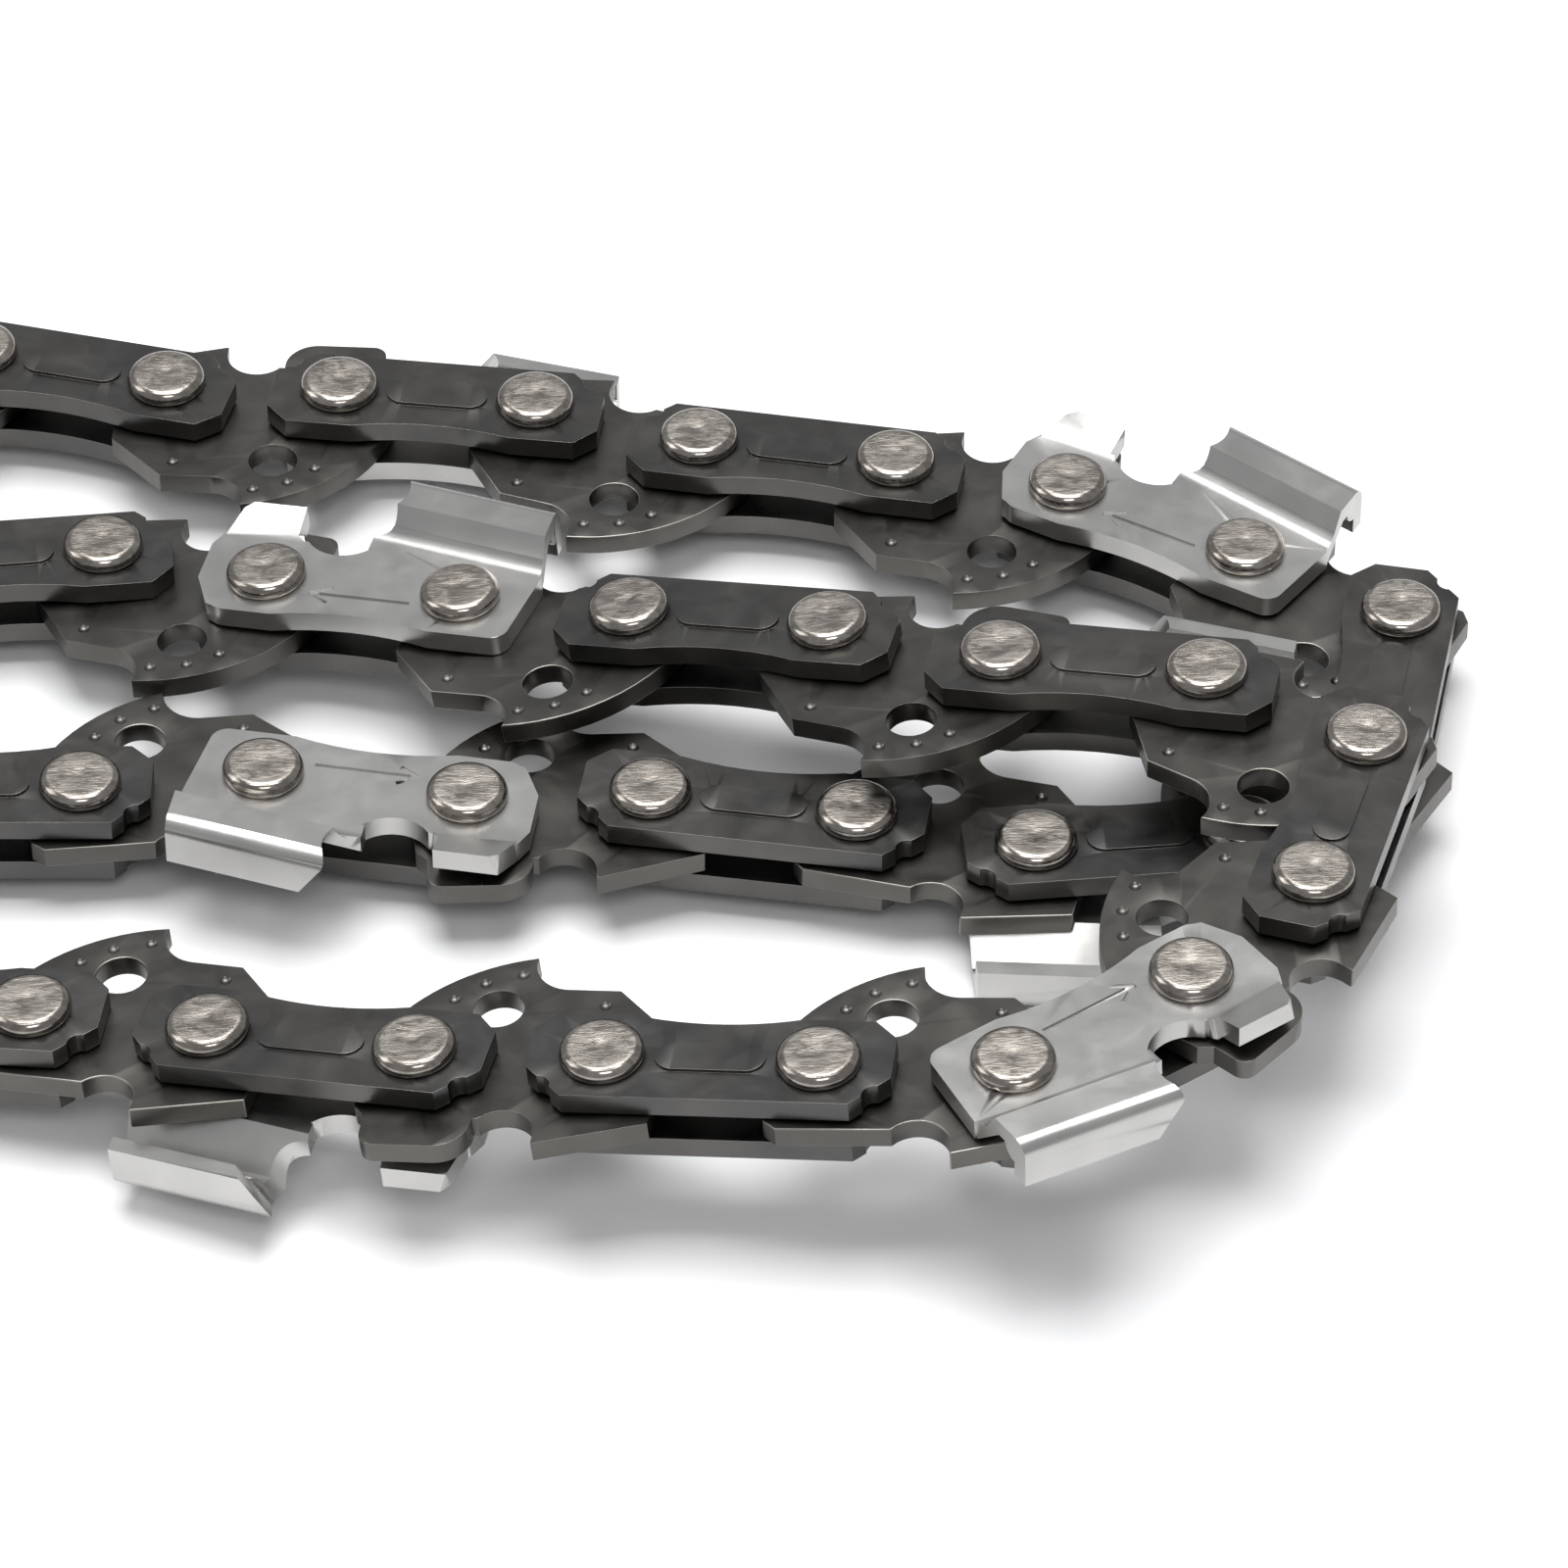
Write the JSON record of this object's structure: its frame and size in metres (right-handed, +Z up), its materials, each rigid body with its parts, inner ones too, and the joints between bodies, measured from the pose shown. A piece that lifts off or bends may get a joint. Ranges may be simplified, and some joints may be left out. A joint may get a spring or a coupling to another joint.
{
  "type": "saw chain loop",
  "caption": "Loop of low-profile saw chain laid on its side in two coils: drive links, bumper links, cutters and tie straps that turn on rivets.",
  "frame": {"origin": "on the resting surface, at the middle of the flat side land of cutter 5's tooth, on which the chain lies", "axes": "+Z up; +X along the long straight runs, towards the visible bends; +Y towards the back run"},
  "size_m": [0.1517, 0.0887, 0.0118],
  "materials": {
    "drive_link_steel": "satin blackened steel",
    "strap_steel": "satin blued steel",
    "cutter_steel": "satin hard chrome",
    "rivet_steel": "bright, tumbled"
  },
  "bodies": {
    "inner_coil": {"inner_drive_links": "drive_link_steel", "inner_bumper_links": "drive_link_steel", "inner_left_cutters": "cutter_steel", "inner_right_cutters": "cutter_steel", "inner_tie_straps": "strap_steel", "inner_rivets": "rivet_steel"},
    "drive_link_13": {"drive_link_13": "drive_link_steel"},
    "strap_pair_14": {"tie_straps_14": "strap_steel", "rivets_14": "rivet_steel"},
    "bumper_link_14": {"bumper_link_14": "drive_link_steel"},
    "cutter_pair_15": {"cutter_15": "cutter_steel", "tie_strap_15": "strap_steel", "rivets_15": "rivet_steel"},
    "drive_link_15": {"drive_link_15": "drive_link_steel"},
    "strap_pair_16": {"tie_straps_16": "strap_steel", "rivets_16": "rivet_steel"},
    "bumper_link_16": {"bumper_link_16": "drive_link_steel"},
    "cutter_pair_17": {"cutter_17": "cutter_steel", "tie_strap_17": "strap_steel", "rivets_17": "rivet_steel"},
    "drive_link_17": {"drive_link_17": "drive_link_steel"},
    "strap_pair_18": {"tie_straps_18": "strap_steel", "rivets_18": "rivet_steel"},
    "bumper_link_18": {"bumper_link_18": "drive_link_steel"},
    "cutter_pair_19": {"cutter_19": "cutter_steel", "tie_strap_19": "strap_steel", "rivets_19": "rivet_steel"},
    "drive_link_19": {"drive_link_19": "drive_link_steel"},
    "strap_pair_20": {"tie_straps_20": "strap_steel", "rivets_20": "rivet_steel"},
    "bumper_link_20": {"bumper_link_20": "drive_link_steel"},
    "closing_section": {"closing_drive_links": "drive_link_steel", "closing_cutters": "cutter_steel", "closing_tie_straps": "strap_steel", "closing_rivets": "rivet_steel"},
    "bumper_link_32": {"bumper_link_32": "drive_link_steel"},
    "strap_pair_32": {"tie_straps_32": "strap_steel", "rivets_32": "rivet_steel"},
    "drive_link_31": {"drive_link_31": "drive_link_steel"},
    "cutter_pair_31": {"cutter_31": "cutter_steel", "tie_strap_31": "strap_steel", "rivets_31": "rivet_steel"},
    "bumper_link_30": {"bumper_link_30": "drive_link_steel"},
    "strap_pair_30": {"tie_straps_30": "strap_steel", "rivets_30": "rivet_steel"},
    "drive_link_29": {"drive_link_29": "drive_link_steel"},
    "cutter_pair_29": {"cutter_29": "cutter_steel", "tie_strap_29": "strap_steel", "rivets_29": "rivet_steel"},
    "bumper_link_28": {"bumper_link_28": "drive_link_steel"},
    "strap_pair_28": {"tie_straps_28": "strap_steel", "rivets_28": "rivet_steel"},
    "drive_link_27": {"drive_link_27": "drive_link_steel"},
    "cutter_pair_27": {"cutter_27": "cutter_steel", "tie_strap_27": "strap_steel", "rivets_27": "rivet_steel"},
    "bumper_link_26": {"bumper_link_26": "drive_link_steel"},
    "strap_pair_26": {"tie_straps_26": "strap_steel", "rivets_26": "rivet_steel"},
    "drive_link_25": {"drive_link_25": "drive_link_steel"}
  },
  "joints": [
    {"name": "inner_coil_to_drive_link_13", "type": "hinge", "parent": "inner_coil", "child": "drive_link_13", "pos_m": [0.08173, 0.01253, 0.00863], "axis": [-0.0499, 0.0097, 0.9987], "range_deg": [0, 15]},
    {"name": "drive_link_13_to_strap_pair_14", "type": "hinge", "parent": "drive_link_13", "child": "strap_pair_14", "pos_m": [0.08911, 0.00755, 0.0088], "axis": [0, 0, 1], "range_deg": [0, 88.5]},
    {"name": "strap_pair_14_to_bumper_link_14", "type": "hinge", "parent": "strap_pair_14", "child": "bumper_link_14", "pos_m": [0.08614, -0.00215, 0.0088], "axis": [0, 0, 1], "range_deg": [0, 41]},
    {"name": "bumper_link_14_to_cutter_pair_15", "type": "hinge", "parent": "bumper_link_14", "child": "cutter_pair_15", "pos_m": [0.08019, -0.00877, 0.00869], "axis": [-0.027, -0.0182, 0.9995], "range_deg": [0, 3]},
    {"name": "cutter_pair_15_to_drive_link_15", "type": "hinge", "parent": "cutter_pair_15", "child": "drive_link_15", "pos_m": [0.07178, -0.01444, 0.00836], "axis": [-0.027, -0.0182, 0.9995], "range_deg": [0, 3]},
    {"name": "drive_link_15_to_strap_pair_16", "type": "hinge", "parent": "drive_link_15", "child": "strap_pair_16", "pos_m": [0.06292, -0.01382, 0.00781], "axis": [-0.0753, 0.0092, 0.9971], "range_deg": [0, 2]},
    {"name": "strap_pair_16_to_bumper_link_16", "type": "hinge", "parent": "strap_pair_16", "child": "bumper_link_16", "pos_m": [0.05287, -0.01259, 0.00704], "axis": [-0.0753, 0.0092, 0.9971], "range_deg": [0, 2]},
    {"name": "bumper_link_16_to_cutter_pair_17", "type": "hinge", "parent": "bumper_link_16", "child": "cutter_pair_17", "pos_m": [0.04413, -0.0112, 0.00605], "axis": [-0.0946, 0.0236, 0.9952], "range_deg": [0, 2]},
    {"name": "cutter_pair_17_to_drive_link_17", "type": "hinge", "parent": "cutter_pair_17", "child": "drive_link_17", "pos_m": [0.03433, -0.00876, 0.00506], "axis": [-0.0946, 0.0236, 0.9952], "range_deg": [0, 2]},
    {"name": "drive_link_17_to_strap_pair_18", "type": "hinge", "parent": "drive_link_17", "child": "strap_pair_18", "pos_m": [0.02573, -0.00661, 0.00429], "axis": [-0.0537, 0.0075, 0.9985], "range_deg": [0, 3]},
    {"name": "strap_pair_18_to_bumper_link_18", "type": "hinge", "parent": "strap_pair_18", "child": "bumper_link_18", "pos_m": [0.01569, -0.0052, 0.00374], "axis": [-0.0537, 0.0075, 0.9985], "range_deg": [0, 3]},
    {"name": "bumper_link_18_to_cutter_pair_19", "type": "hinge", "parent": "bumper_link_18", "child": "cutter_pair_19", "pos_m": [0.00683, -0.00598, 0.00341], "axis": [-0.0106, -0.0023, 0.9999], "range_deg": [0, 8.5]},
    {"name": "cutter_pair_19_to_drive_link_19", "type": "hinge", "parent": "cutter_pair_19", "child": "drive_link_19", "pos_m": [-0.00309, -0.00809, 0.0033], "axis": [-0.0106, -0.0023, 0.9999], "range_deg": [0, 17.5]},
    {"name": "drive_link_19_to_strap_pair_20", "type": "hinge", "parent": "drive_link_19", "child": "strap_pair_20", "pos_m": [-0.01186, -0.00963, 0.0033], "axis": [0, 0, 1], "range_deg": [0, 26]},
    {"name": "strap_pair_20_to_bumper_link_20", "type": "hinge", "parent": "strap_pair_20", "child": "bumper_link_20", "pos_m": [-0.02201, -0.00963, 0.0033], "axis": [0, 0, 1], "range_deg": [0, 29.5]},
    {"name": "bumper_link_20_to_closing_section", "type": "hinge", "parent": "bumper_link_20", "child": "closing_section", "pos_m": [-0.03064, -0.00748, 0.0033], "axis": [0, 0, 1], "range_deg": [0, 32]},
    {"name": "inner_coil_to_bumper_link_32", "type": "hinge", "parent": "inner_coil", "child": "bumper_link_32", "pos_m": [0.08342, 0.00711, 0.0033], "axis": [0, 0, -1], "range_deg": [0, 53]},
    {"name": "bumper_link_32_to_strap_pair_32", "type": "hinge", "parent": "bumper_link_32", "child": "strap_pair_32", "pos_m": [0.08993, 0.01318, 0.0033], "axis": [0, 0, -1], "range_deg": [0, 51.5]},
    {"name": "strap_pair_32_to_drive_link_31", "type": "hinge", "parent": "strap_pair_32", "child": "drive_link_31", "pos_m": [0.09187, 0.02314, 0.0033], "axis": [0, 0, -1], "range_deg": [0, 84.5]},
    {"name": "drive_link_31_to_cutter_pair_31", "type": "hinge", "parent": "drive_link_31", "child": "cutter_pair_31", "pos_m": [0.08432, 0.02786, 0.0033], "axis": [0, 0, -1], "range_deg": [0, 18]},
    {"name": "cutter_pair_31_to_bumper_link_30", "type": "hinge", "parent": "cutter_pair_31", "child": "bumper_link_30", "pos_m": [0.07553, 0.03293, 0.0033], "axis": [0, 0, -1], "range_deg": [0, 34]},
    {"name": "bumper_link_30_to_strap_pair_30", "type": "hinge", "parent": "bumper_link_30", "child": "strap_pair_30", "pos_m": [0.06683, 0.03478, 0.0033], "axis": [0, 0, -1], "range_deg": [0, 18]},
    {"name": "strap_pair_30_to_drive_link_29", "type": "hinge", "parent": "strap_pair_30", "child": "drive_link_29", "pos_m": [0.05683, 0.03655, 0.0033], "axis": [0, 0, -1], "range_deg": [0, 6.5]},
    {"name": "drive_link_29_to_cutter_pair_29", "type": "hinge", "parent": "drive_link_29", "child": "cutter_pair_29", "pos_m": [0.04842, 0.03944, 0.0033], "axis": [0, 0, -1], "range_deg": [0, 27.5]},
    {"name": "cutter_pair_29_to_bumper_link_28", "type": "hinge", "parent": "cutter_pair_29", "child": "bumper_link_28", "pos_m": [0.03834, 0.04068, 0.0033], "axis": [0, 0, -1], "range_deg": [0, 20]},
    {"name": "bumper_link_28_to_strap_pair_28", "type": "hinge", "parent": "bumper_link_28", "child": "strap_pair_28", "pos_m": [0.02945, 0.04115, 0.0033], "axis": [0, 0, -1], "range_deg": [0, 4.5]},
    {"name": "strap_pair_28_to_drive_link_27", "type": "hinge", "parent": "strap_pair_28", "child": "drive_link_27", "pos_m": [0.01961, 0.0436, 0.0033], "axis": [0, 0, -1], "range_deg": [0, 13]},
    {"name": "drive_link_27_to_cutter_pair_27", "type": "hinge", "parent": "drive_link_27", "child": "cutter_pair_27", "pos_m": [0.01109, 0.0462, 0.0033], "axis": [0, 0, -1], "range_deg": [0, 12]},
    {"name": "cutter_pair_27_to_bumper_link_26", "type": "hinge", "parent": "cutter_pair_27", "child": "bumper_link_26", "pos_m": [0.00162, 0.04984, 0.0033], "axis": [0, 0, -1], "range_deg": [0, 11.5]},
    {"name": "bumper_link_26_to_strap_pair_26", "type": "hinge", "parent": "bumper_link_26", "child": "strap_pair_26", "pos_m": [-0.00645, 0.0536, 0.0033], "axis": [0, 0, -1], "range_deg": [0, 11]},
    {"name": "strap_pair_26_to_drive_link_25", "type": "hinge", "parent": "strap_pair_26", "child": "drive_link_25", "pos_m": [-0.01524, 0.05868, 0.0033], "axis": [0, 0, -1], "range_deg": [0, 31.5]}
  ]
}
